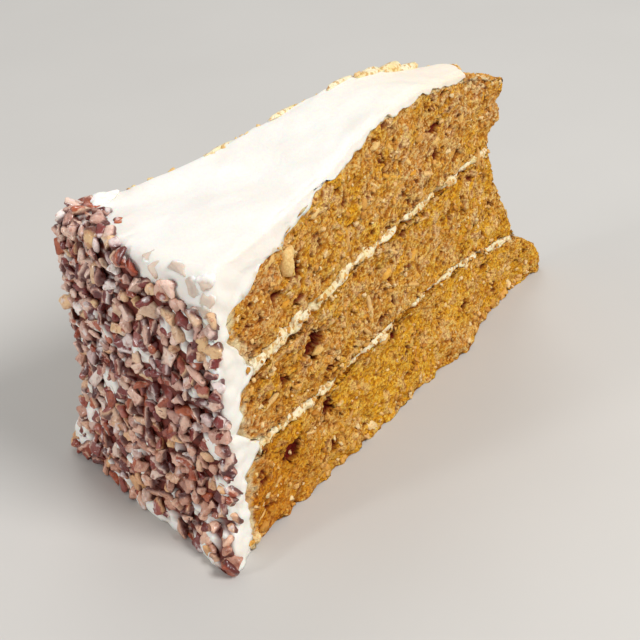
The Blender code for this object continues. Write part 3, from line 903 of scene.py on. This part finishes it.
nuts = {
    "limit": ((-1.0, -11.0), (-0.8, -7.0), (-0.6, -5.0), (-0.3, -4.5), (-0.1, -1.0), (0.3, 3.0),
              (1.0, 6.5)),  # across, past the edge
    "pitch": 5.0,
    "first": 1.6,
    "margin": 0.965,
    "shift": 0.3,
    "tilt": 0.6,
    "size": ((4.0, 5.8), (2.9, 4.2), (1.9, 2.9)),  # length, width and thickness
    "box": 0.74,
    "jitter": 0.17,
    "proud": -0.05,
    "seed": 15,
    "wear": 0.31,  # rounding of the edges, as a share of the thickness
    "facets": 0.3,  # faces that meet at less than this angle become one
    "finest": 0.9,  # longer edges are cut in half
    "skinTilt": 0.5,
    "rough": ((0.55, 1.5, 1.5), (0.3, 0.7, 0.7)),  # bumps: height, size and shift of the seed
    # painted shade: the chips get darker toward the bottom
    "lower": (45, 5),  # darker from here down to here
    "small": {"pitch": 4.1, "seed": 5, "size": ((2.4, 5.2), (2.2, 3.4), (1.7, 2.6)), "proud": 0.32,
              "jitter": 0.27},
    # chips sunk in the cream at the near top corner: height past the edge, across, size, tilt
    "sunk": ((-2.5, -0.93, 0.3, (0.3, 0.2, 0.6)), (-4.5, -0.8, 0.9, (0.1, 0.4, 2.0)),
             (-6.5, -0.93, 0.6, (0.4, 0.1, 1.2)), (-8.5, -0.86, 0.8, (0.2, 0.3, 2.6)),
             (-1.0, -0.62, 0.5, (0.3, 0.1, 0.2)), (-11.0, -0.93, 0.4, (0.1, 0.2, 1.9)),
             (-2.0, -0.4, 0.6, (0.4, 0.3, 1.0)), (0.5, -0.3, 0.3, (0.2, 0.1, 1.4))),
    # a single chip on the top
    "alone": ((5.5, 0.40, 0.3, (0.1, 0.2, 0.9)),),
    "sunkProud": -0.28,
    "aloneProud": -0.22,
    # tones over the chips' random shade: position and colour
    "flesh": ((0.0, 206, 158, 142), (0.3, 232, 188, 166), (0.6, 248, 214, 196), (0.8, 238, 194, 140),
              (0.9, 216, 190, 186), (1.0, 255, 242, 234)),
    "skin": ((0.0, 84, 12, 12), (0.35, 136, 38, 28), (0.65, 190, 98, 54), (0.8, 172, 92, 80),
             (1.0, 116, 22, 22)),
    # two tones are painted shade: one on the undersides of the chips, one toward the bottom
    "tones": {"streak": (176, 104, 84), "under": (88, 14, 14), "lower": (240, 216, 196),
              "cream": (240, 228, 224), "thinCream": (250, 244, 238), "bare": (214, 190, 170)},
}


def rimFrame(height, across):
    # point and outward direction on the coat, from the height up the rim and over its edge
    shares = np.linspace(0, 1, 401)
    share = float(np.interp(height, upTheRim(shares, across), shares))
    step = 0.005
    shares = np.array([share, share + step, share])
    sides = np.array([across, across, across + step])
    here, above, beside = (Vector(point) for point in coatOuter(shares, sides))
    return here, (above - here).cross(beside - here).normalized()


def nutSpots(pitch, seed):
    draw = random.Random(seed)
    row = pitch * math.sqrt(3) / 2
    rowCount = int((cake["height"] + nuts["limit"][-1][1]) / row)
    columnCount = int(2 * cake["rimHalf"][0] / pitch)
    for rowIndex, column in itertools.product(range(rowCount), range(columnCount + 1)):
        height = nuts["first"] + row * (rowIndex + draw.uniform(-nuts["shift"], nuts["shift"]))
        place = column + 0.5 * (rowIndex % 2) + draw.uniform(-nuts["shift"], nuts["shift"])
        across = max(-nuts["margin"], min(nuts["margin"], 2 * place / columnCount - 1))
        size = draw.uniform(0, 1)
        tilt = [draw.uniform(-nuts["tilt"], nuts["tilt"]) for _ in range(2)]
        tilt.append(draw.uniform(0, 2 * math.pi))
        chipSeed = draw.randrange(100000)
        if height < crown(cake["rimX"][1], across) + along(nuts["limit"], across):
            yield max(height, nuts["first"]), across, size, tilt, chipSeed


def pastEdge(listed, seed):
    for index, (past, across, size, tilt) in enumerate(listed):
        yield crown(cake["rimX"][1], across) + past, across, size, tilt, seed + index


def chipMesh(height, across, size, tilt, seed, sizes, proud, jitter):
    # a chopped chip with worn edges
    here, outward = rimFrame(height, across)
    scale = [low + (high - low) * size for low, high in sizes]
    turn = outward.to_track_quat("Z", "Y").to_matrix() @ Euler(tilt).to_matrix()
    draw = random.Random(seed)
    chip = bmesh.new()
    for signs in itertools.product((-1, 1), repeat=3):
        shares = [sign * nuts["box"] / 2 + draw.uniform(-jitter, jitter) for sign in signs]
        local = Vector([shares[axis] * scale[axis] for axis in range(3)])
        chip.verts.new(here + outward * proud * scale[2] + turn @ local)
    hull = bmesh.ops.convex_hull(chip, input=chip.verts)
    bmesh.ops.delete(chip, geom=hull["geom_interior"], context="VERTS")
    bmesh.ops.dissolve_limit(chip, angle_limit=nuts["facets"], verts=chip.verts, edges=chip.edges)
    bmesh.ops.bevel(chip, geom=chip.edges, offset=nuts["wear"] * scale[2], segments=3, profile=0.55,
                    affect="EDGES", clamp_overlap=True)
    bmesh.ops.triangulate(chip, faces=chip.faces)
    long = [edge for edge in chip.edges if edge.calc_length() > nuts["finest"]]
    bmesh.ops.subdivide_edges(chip, edges=long, cuts=1)
    bmesh.ops.triangulate(chip, faces=chip.faces)
    lift = max(0.0, cake["gap"] - min(vert.co.z for vert in chip.verts))
    leans = [draw.uniform(-nuts["skinTilt"], nuts["skinTilt"]) for _ in range(2)]
    skinSide = (turn @ Vector((*leans, 1))).normalized()
    middle = sum((vert.co for vert in chip.verts), Vector()) / len(chip.verts)
    reach = max((vert.co - middle).dot(skinSide) for vert in chip.verts)
    points = [vert.co + Vector((0, 0, lift)) for vert in chip.verts]
    skin = [(vert.co - middle).dot(skinSide) / reach for vert in chip.verts]
    chip.verts.index_update()
    faces = [[vert.index for vert in face.verts] for face in chip.faces]
    chip.free()
    return points, faces, skin, draw


def makeChips(name, spots, sizes, proud, jitter, material):
    points, faces, skins, kinds, shades = [], [], [], [], []
    for height, across, size, tilt, seed in spots:
        chipPoints, chipFaces, skin, draw = chipMesh(height, across, size, tilt, seed, sizes, proud, jitter)
        start = len(points)
        points += chipPoints
        faces += [[start + index for index in face] for face in chipFaces]
        skins += skin
        kinds += [draw.random()] * len(chipPoints)
        shades += [draw.random()] * len(chipPoints)
    points = np.array(points)
    crust = ripple(points, 44.0, nuts["rough"])
    points += pointNormals(points, np.array([face + face[:1] for face in faces])) * crust[:, None]
    points[:, 2] = np.maximum(points[:, 2], 0.1)
    # the lower field is painted shade, darker toward the bottom
    makePiece(name, points, faces, material, "icing", ["icing"], skin=skins, kind=kinds, shade=shades,
              lower=smoothStep(*nuts["lower"], points[:, 2]))


def nutFinish():
    finish = Finish("choppedNut", Subsurface_Weight=0.08, Subsurface_Scale=0.0015, Specular_IOR_Level=0.5,
                    Coat_Weight=0.55, Coat_Roughness=0.16)
    tones = tonesOf(nuts)
    skin, kind, shade = finish.field("skin"), finish.field("kind"), finish.field("shade")
    flesh, skinTone = finish.ramp(shade, *rampOf(nuts["flesh"])), finish.ramp(shade, *rampOf(nuts["skin"]))
    streaks = finish.grain(1.3, 3.0, 0.6)
    skinned = finish.between(skin + 0.7 * (streaks - 0.5), 0.25, 0.5) * finish.between(kind, 0.56, 0.6)
    allSkin = finish.between(kind, 0.88, 0.9)
    base = finish.blend(skinned + (1 - skinned) * allSkin, flesh, skinTone)
    base = finish.blend(finish.between(streaks, 0.52, 0.66) * 0.55, base, tones["streak"], "MULTIPLY")
    # painted shade on the undersides of the chips, toward the coat
    under = finish.between(skin + 0.8 * (streaks - 0.5), 0.36, -0.26)
    base = finish.blend(under * 0.92, base, tones["under"])
    # painted shade: the chips darker toward the bottom
    base = finish.blend(finish.field("lower") * 0.8, base, tones["lower"], "MULTIPLY")
    creamed = finish.between(finish.grain(3.0, 3.0, seed=8.0) + 0.05 * skin, 0.6, 0.74)
    base = finish.blend(creamed * 0.85, base, tones["cream"])
    finish.set("Base Color", base)
    finish.set("Roughness", 0.42 - 0.2 * streaks)
    finish.raised(finish.grain(0.9, 4.0, 0.6) + finish.grain(2.2, 2.0, seed=3.0), 0.3)
    return finish.material


def sunkFinish():
    # chips under a thin coat of cream
    finish = Finish("creamedNut", Subsurface_Weight=0.25, Subsurface_Scale=0.002, Specular_IOR_Level=0.4)
    tones = tonesOf(nuts)
    bare = finish.between(finish.field("skin") + 0.8 * (finish.grain(1.6, 3.0, seed=9.0) - 0.5), 0.1, 0.6)
    finish.set("Base Color", finish.blend(bare * 0.85, tones["thinCream"], tones["bare"]))
    finish.set("Roughness", 0.5 - 0.15 * bare)
    finish.raised(finish.grain(1.2, 3.0), 0.2)
    return finish.material


def icingFinish():
    finish = Finish("whiteIcing", Subsurface_Weight=0.2, Subsurface_Scale=0.003, Specular_IOR_Level=0.3)
    tones = tonesOf(icing)
    cut = finish.field("cut")
    base = finish.blend(finish.between(finish.grain(11.0, 2.0), 0.35, 0.7), tones["cream"], tones["cloudy"])
    base = finish.blend(finish.field("tipward"), base, tones["tipward"])
    # painted shade: the cut faces a little darker than the top
    base = finish.blend(cut * 0.3, base, tones["cut"], "MULTIPLY")
    ragged = finish.field("inner") + 0.7 * (finish.grain(1.8, 3.0, seed=5.0) - 0.5)
    base = finish.blend(finish.between(ragged, 0.93, 1.15) * cut * 0.6, base, tones["stain"])
    # nut dust and painted shade for the gaps between the chips
    dustAndShadeTone = finish.blend(finish.grain(1.0, 3.0, seed=7.0), tones["dustAndShade"], tones["paleDustAndShade"])
    finish.set("Base Color", finish.blend(finish.field("dusted"), base, dustAndShadeTone))
    finish.set("Roughness", 0.45 + 0.2 * finish.grain(2.0))
    finish.raised(finish.grain(3.0, 3.0) + 0.3 * finish.grain(0.8, 2.0), 0.2)
    return finish.material


coat = makeCoat(icingFinish())
nutMaterial = nutFinish()
small = nuts["small"]
chips = (("nutChips", nutSpots(nuts["pitch"], nuts["seed"]), nuts, nuts["proud"], nutMaterial),
         ("topChip", pastEdge(nuts["alone"], 88), nuts, nuts["aloneProud"], nutMaterial),
         ("smallNutChips", nutSpots(small["pitch"], small["seed"]), small, small["proud"], nutMaterial),
         ("sunkNutChips", pastEdge(nuts["sunk"], 80), nuts, nuts["sunkProud"], sunkFinish()))
for name, spots, chosen, proud, material in chips:
    makeChips(name, spots, chosen["size"], proud, chosen["jitter"], material)


# Small lumps: loose crumbs, pale pieces and shreds in the sponge, dabs of cream

def surfaceOf(parts):
    points = np.concatenate([part[0] for part in parts])
    starts = np.cumsum([0] + [len(part[0]) for part in parts])
    faces = np.concatenate([part[1] + start for part, start in zip(parts, starts)])
    return BVHTree.FromPolygons([Vector(point) for point in points], faces.tolist())


cakeSurface = surfaceOf(layers + [coat])


def onCut(x, z, side):
    # point and direction of the surface at this place of a cut
    start = spot(np.array([x]), np.array([float(side)]), np.array([z]), 12.0)[0]
    return cakeSurface.ray_cast(Vector(start), Vector((0, -side, 0)))[:2]


def onTop(x, across):
    start = spot(np.array([x]), np.array([across]), np.array([70.0]))[0]
    start[2] = 95
    return cakeSurface.ray_cast(Vector(start), Vector((0, 0, -1)))[:2]


def lump(place, normal, angle, size, sink, bend=0.0, pale=0.0):
    return {"place": place, "normal": normal, "angle": angle, "size": size, "sink": sink, "bend": bend,
            "pale": pale}


def makeLumps(name, lumps, seed, rough, material, slot, nodes, detail=1):
    # angle turns a lump's length from level toward up; size is half of its length, width and thickness
    ball = bmesh.new()
    bmesh.ops.create_icosphere(ball, subdivisions=detail, radius=1)
    ballPoints = np.array([vert.co for vert in ball.verts])
    ballFaces = np.array([[vert.index for vert in face.verts] for face in ball.faces])
    ball.free()
    draw = np.random.default_rng(seed)
    points, faces, shades = [], [], []
    for number, item in enumerate(lumps):
        normal = Vector(item["normal"]).normalized()
        level = Vector((0, 0, 1)).cross(normal) if abs(normal.z) < 0.9 else Vector((0, 1, 0)).cross(normal)
        level.normalize()
        length = math.cos(item["angle"]) * level + math.sin(item["angle"]) * normal.cross(level)
        axes = np.array([length, normal.cross(length), normal])
        waves = np.sin(ballPoints @ draw.normal(size=(3, 5)) * 3.2 + draw.uniform(0, 6.3, 5))
        shape = ballPoints * (1 + rough * waves.mean(1))[:, None] * item["size"]
        shape[:, 1] += item["bend"] * shape[:, 0] ** 2
        shape[:, 2] -= item["sink"] * item["size"][2]
        placed = np.array(item["place"]) + shape @ axes
        placed[:, 2] = np.maximum(placed[:, 2], 0.02)  # off the floor
        points.append(placed)
        faces.append(ballFaces + number * len(ballPoints))
        shades += [item["pale"] + (1 - item["pale"]) * draw.random()] * len(ballPoints)
    makePiece(name, np.concatenate(points), np.concatenate(faces), material, slot, nodes, shade=shades)


loose = {
    "seed": 3,
    "onCuts": (1000, 650),  # crumbs on the near and the far cut
    "size": (0.28, 0.75),
    # others: how many, x from and to, size, how far they sink in, and how pale at least
    "farEdge": (60, (-52, 52), (0.3, 0.8), 0.3, 0.7),
    "farBump": (10, (16, 34), (0.6, 1.3), 0.1, 0.6),
    "fillings": (260, (-52, 54), (0.3, 0.7), 0.2, 0.0),
    "bare": (80, (43, 57), (0.4, 0.9), 0.2, 0.0),
    "base": (50, (-56, 66), (0.4, 1.1), 0.0, 0.0),
    "hanging": (16, (-57, 68), (0.8, 1.7), 0.4, 0.0),  # larger ones along the foot of the near cut
    "corner": (12, (-59, -52), (0.5, 1.3), -0.1, 0.2),
    "rough": 0.9,
    "lowest": 0.3,
}


def looseCrumbs():
    draw = random.Random(loose["seed"])
    lumps = []

    def size(low, high):
        whole = low + (high - low) * draw.random() ** 2
        return [whole * draw.uniform(*share) for share in ((0.8, 1.4), (0.7, 1.0), (0.6, 0.9))]

    def add(found, sizes, sink, pale=0.0):
        place, normal = found
        if place is not None:
            lumps.append(lump(place, normal, draw.uniform(0, 6.3), size(*sizes), sink, pale=pale))

    def byFilling(x):
        middle = float(along(cake[draw.choice(("lowerLine", "upperLine"))], x))
        return onCut(x, middle + draw.uniform(-1.6, 1.2), draw.choice((-1, -1, 1)))

    for side, count in zip((-1, 1), loose["onCuts"]):
        for _ in range(count):
            z = draw.uniform(0.8, 70)
            x = draw.uniform(-57, float(along(cake["tipProfile"], z)) - 1)
            pastWall = x > float(wallX(np.array([float(side)]), np.array([z]))[0]) + 0.8
            if pastWall and z < crown(x, side) - coatDepth(x) - 0.5:
                add(onCut(x, z, side), loose["size"], draw.uniform(-0.2, 0.4))
    places = {
        "farEdge": lambda x: onTop(x, 1 - 0.09 * draw.random() ** 2),
        "farBump": lambda x: onTop(x, draw.uniform(0.9, 0.99)),
        "fillings": byFilling,
        "bare": lambda x: onTop(x, draw.uniform(-0.95, 0.95)),
        "base": lambda x: onCut(x, draw.uniform(0.4, 2.5), draw.choice((-1, 1))),
        "hanging": lambda x: onCut(x, draw.uniform(0.7, 2.2), -1),
        "corner": lambda x: onCut(x, draw.uniform(0.5, 3.2), -1),
    }
    for kind, find in places.items():
        count, (start, end), sizes, sink, pale = loose[kind]
        for _ in range(count):
            add(find(draw.uniform(start, end)), sizes, sink, pale)
    return [item for item in lumps if item["place"][2] > loose["lowest"]]


inclusions = {
    # on the near cut: x, z, half length, half width, angle in degrees
    "pale": ((-34.4, 60.4, 4.0, 2.2, 95), (-39.8, 63.2, 1.6, 1.1, 40), (-36.7, 64.6, 1.3, 0.8, 10),
             (0.9, 69.7, 1.8, 1.0, 20), (20.3, 62.1, 2.0, 1.2, 150), (-6.1, 58.9, 1.3, 0.9, 70),
             (-23.5, 66.1, 1.6, 1.0, 30), (14.3, 59.3, 1.5, 0.9, 120), (26.5, 59.2, 1.7, 0.9, 0),
             (38.4, 59.0, 1.5, 0.9, 60), (-27.5, 33.3, 1.6, 0.9, 5), (-44.0, 38.0, 1.4, 1.0, 20),
             (-2.1, 20.3, 2.0, 0.9, 10), (6.5, 66.6, 1.4, 0.8, 100), (-36.0, 36.5, 1.3, 0.8, 80)),
    "shreds": ((-6.6, 32.3, 4.0, 0.75, 95), (-45.0, 31.5, 3.6, 0.7, 12), (-13.0, 53.0, 2.8, 0.6, 75),
               (21.0, 53.3, 2.2, 0.6, 160), (-20.5, 9.5, 2.6, 0.6, 30), (30.0, 33.0, 2.6, 0.6, 110)),
    "carrot": ((1.5, 36.5, 2.2, 1.1, 20), (-18.0, 48.0, 2.0, 0.7, 60), (-36.0, 50.5, 2.4, 0.9, 15),
               (14.0, 29.0, 1.6, 0.7, 120), (-30.5, 10.5, 2.0, 0.8, 80), (36.0, 27.5, 1.8, 0.6, 30)),
    # more of them on both cuts: how many, half length from and to, and width as a share of it
    "more": {"pale": (26, (0.8, 1.5), 0.6), "shreds": (16, (1.5, 3.0), 0.24),
             "carrot": (16, (0.9, 2.0), 0.4)},
    "seed": 12,
    "rough": 0.6,
    # dark, middle and light
    "tones": {"crumbs": ((186, 118, 34), (232, 174, 84), (252, 226, 172)),
              "pale": ((210, 152, 70), (232, 186, 104), (246, 212, 146)),
              "shreds": ((206, 150, 76), (228, 180, 104), (240, 204, 140)),
              "carrot": ((204, 136, 36), (226, 162, 52), (238, 184, 84))},
}


def inclusionLumps(kind, draw):
    count, (shortest, longest), flatness = inclusions["more"][kind]
    listed = [(x, z, half, width, math.radians(angle), -1) for x, z, half, width, angle in inclusions[kind]]
    for number in range(2 * count):
        z = draw.uniform(2, 66)
        x = draw.uniform(-54, float(along(cake["tipProfile"], z)) - 3)
        side = -1 if number < count else 1
        half = draw.uniform(shortest, longest)
        if z < crown(x, side) - coatDepth(x) - 2:
            listed.append((x, z, half, half * flatness, draw.uniform(0, math.pi), side))
    for x, z, half, width, angle, side in listed:
        place, normal = onCut(x, z, side)
        if place is not None:
            tall = min(width, 1.5)
            facing = Vector(normal).lerp(Vector((0.2, side, 0)), 0.75)
            yield lump(place, facing, angle, (half, width, tall), 0.5, draw.uniform(-0.12, 0.12) / half)


def crumbFinish(name, kind, grainy):
    finish = Finish(name, Subsurface_Weight=0.08, Subsurface_Scale=0.0015, Specular_IOR_Level=0.25)
    dark, middle, light = (tone(*shade) for shade in inclusions["tones"][kind])
    mottled = finish.between(finish.grain(0.7, 3.0), 0.35, 0.65)
    base = finish.ramp(finish.field("shade"), (0.0, dark), (0.5, middle), (1.0, light))
    finish.set("Base Color", finish.blend(mottled * grainy, base, dark))
    finish.set("Roughness", 0.7 - 0.2 * mottled)
    finish.raised(finish.grain(0.4, 3.0), 0.25)
    return finish.material


makeLumps("looseCrumbs", looseCrumbs(), 5, loose["rough"], crumbFinish("crumb", "crumbs", 0.35),
          "sponge", spongeNodes, detail=2)
draw = random.Random(inclusions["seed"])
for name, kind in (("palePieces", "pale"), ("paleShreds", "shreds"), ("carrotShreds", "carrot")):
    makeLumps(name, inclusionLumps(kind, draw), 8, inclusions["rough"], crumbFinish(name, kind, 0.5),
              "sponge", spongeNodes, detail=2)


dabs = {
    # on the rim: height, across, half length, half width, half thickness, angle in degrees
    "rim": ((73.5, 0.9, 4.6, 2.0, 1.6, 5), (13.5, 0.85, 3.6, 2.2, 1.6, 70), (6.0, 0.97, 3.0, 2.0, 1.6, 90),
            (2.4, -0.7, 2.8, 1.8, 1.4, 60), (44.8, -0.09, 2.2, 1.5, 1.0, 60),
            (54.9, -0.9, 2.8, 1.8, 0.9, 80), (48.5, -0.93, 2.0, 1.3, 0.9, 100)),
    # a lump of yellow cream on the far edge of the top: x, across, half length, half width, half thickness
    "far": ((20.0, 0.9, 3.8, 1.7, 1.2), (25.5, 0.9, 4.0, 1.9, 2.0), (30.5, 0.86, 3.4, 1.6, 1.3),
            (12.0, 0.95, 4.2, 1.0, 0.6), (-3.0, 0.96, 4.6, 0.9, 0.5), (-20.0, 0.97, 4.4, 0.9, 0.5)),
    # on the near cut, by the coat and the fillings: x, z, half length, half width, angle in degrees
    "cut": ((-51.5, 45.6, 2.0, 0.8, 10), (-50.5, 41.6, 2.2, 0.7, -10), (-52.0, 22.2, 2.2, 0.7, -12),
            (0.4, 20.9, 1.9, 1.0, 10), (-3.2, 21.3, 1.7, 0.7, 15)),
    "cutThick": 0.7,
    "rough": {"rim": 0.4, "far": 0.3, "cut": 0.5},
    "tones": {"cream": (250, 245, 240), "shade": (226, 206, 186)},
}


def rimDabs():
    for height, across, half, width, thick, angle in dabs["rim"]:
        place, normal = rimFrame(height, across)
        yield lump(place, normal, math.radians(angle), (half, width, thick), -0.1)


def farDabs():
    for x, across, half, width, thick in dabs["far"]:
        place, normal = onTop(x, across)
        yield lump(place, Vector(normal).lerp(Vector((0, 0, 1)), 0.7), 0.0, (half, width, thick), 0.15)


def cutDabs():
    for x, z, half, width, angle in dabs["cut"]:
        place, normal = onCut(x, z, -1)
        facing = Vector(normal).lerp(Vector((-0.2, -1, 0)), 0.8)
        yield lump(place, facing, math.radians(angle), (half, width, dabs["cutThick"]), 0.3)


def dabFinish():
    finish = Finish("creamDab", Subsurface_Weight=0.25, Subsurface_Scale=0.002, Specular_IOR_Level=0.35)
    tones = tonesOf(dabs)
    mottled = finish.between(finish.grain(1.6, 3.0, seed=2.0), 0.45, 0.7)
    finish.set("Base Color", finish.blend(mottled * 0.5, tones["cream"], tones["shade"]))
    finish.set("Roughness", 0.5 - 0.15 * mottled)
    finish.raised(finish.grain(1.4, 3.0), 0.25)
    return finish.material


makeLumps("creamDabs", rimDabs(), 21, dabs["rough"]["rim"], dabFinish(), "icing", ["icing"], detail=3)
makeLumps("farCream", farDabs(), 24, dabs["rough"]["far"], creamFinish("yellowCream"), "icing", ["icing"],
          detail=3)
makeLumps("creamSmears", cutDabs(), 22, dabs["rough"]["cut"], fillingMaterial, "filling",
          ["filling_lower", "filling_upper"], detail=3)


# Floor, light and camera

studio = {
    "azimuth": -40.94,
    "elevation": 34.47,
    "roll": -4.7,
    "distance": 314.3,
    "target": (-9.37, -0.42, 23.18),  # in the slice's own sizes
    "lens": 73.125,
    "floorReach": 3.0,  # metres
    "tones": {"floor": (206, 203, 198), "cloud": (200, 197, 192)},
    "room": 0.44,
    # where each lamp stands (right of the camera, toward it, up), its size and power
    "key": ((0.55, 0.35, 0.75), 0.35, 7.0),
    "fill": ((-0.75, 0.45, 0.3), 0.14, 1.9),
    "back": ((-0.1, -0.7, 0.8), 0.5, 2.0),
}


def makeFloor():
    finish = Finish("paleFloor", Roughness=0.75)
    tones = tonesOf(studio)
    finish.set("Base Color", finish.blend(finish.grain(60.0, 2.0), tones["floor"], tones["cloud"]))
    mesh = bpy.data.meshes.new("floor")
    reach = studio["floorReach"]
    corners = [(-reach, -reach, 0), (reach, -reach, 0), (reach, reach, 0), (-reach, reach, 0)]
    mesh.from_pydata(corners, [], [(0, 1, 2, 3)])
    mesh.materials.append(finish.material)
    floor = bpy.data.objects.new("floor", mesh)
    scene.collection.objects.link(floor)


def lookAxes():
    azimuth, elevation, roll = (math.radians(studio[key]) for key in ("azimuth", "elevation", "roll"))
    level = Vector((math.sin(azimuth), -math.cos(azimuth), 0))
    back = level * math.cos(elevation) + Vector((0, 0, math.sin(elevation)))
    right = Vector((math.cos(azimuth), math.sin(azimuth), 0))
    up = back.cross(right)
    turnedRight = math.cos(roll) * right + math.sin(roll) * up
    return turnedRight, math.cos(roll) * up - math.sin(roll) * right, back


def makeCamera():
    right, up, back = lookAxes()
    data = bpy.data.cameras.new("camera")
    data.lens = studio["lens"]
    data.sensor_width = 36
    camera = bpy.data.objects.new("camera", data)
    place = (Vector(studio["target"]) - origin) * mm + back * studio["distance"] * mm
    camera.matrix_world = Matrix.Translation(place) @ Matrix((right, up, back)).transposed().to_4x4()
    scene.collection.objects.link(camera)
    scene.camera = camera


def makeLamp(name):
    right, _, back = lookAxes()
    (toRight, toward, height), size, power = studio[name]
    flatBack = Vector((back.x, back.y, 0)).normalized()
    flatRight = Vector((right.x, right.y, 0)).normalized()
    place = flatRight * toRight + flatBack * toward + Vector((0, 0, height))
    data = bpy.data.lights.new(name, "AREA")
    data.shape = "DISK"
    data.size = size
    data.energy = power
    lamp = bpy.data.objects.new(name, data)
    lamp.location = place
    lamp.rotation_euler = (Vector((0, 0, 0.035)) - place).to_track_quat("-Z", "Y").to_euler()
    scene.collection.objects.link(lamp)


def makeRoom():
    world = bpy.data.worlds.new("room")
    world.use_nodes = True
    sky = world.node_tree.nodes["Background"]
    sky.inputs["Color"].default_value = (1, 1, 1, 1)
    sky.inputs["Strength"].default_value = studio["room"]
    scene.world = world


makeFloor()
makeCamera()
for lampName in ("key", "fill", "back"):
    makeLamp(lampName)
makeRoom()
print("studio ready")
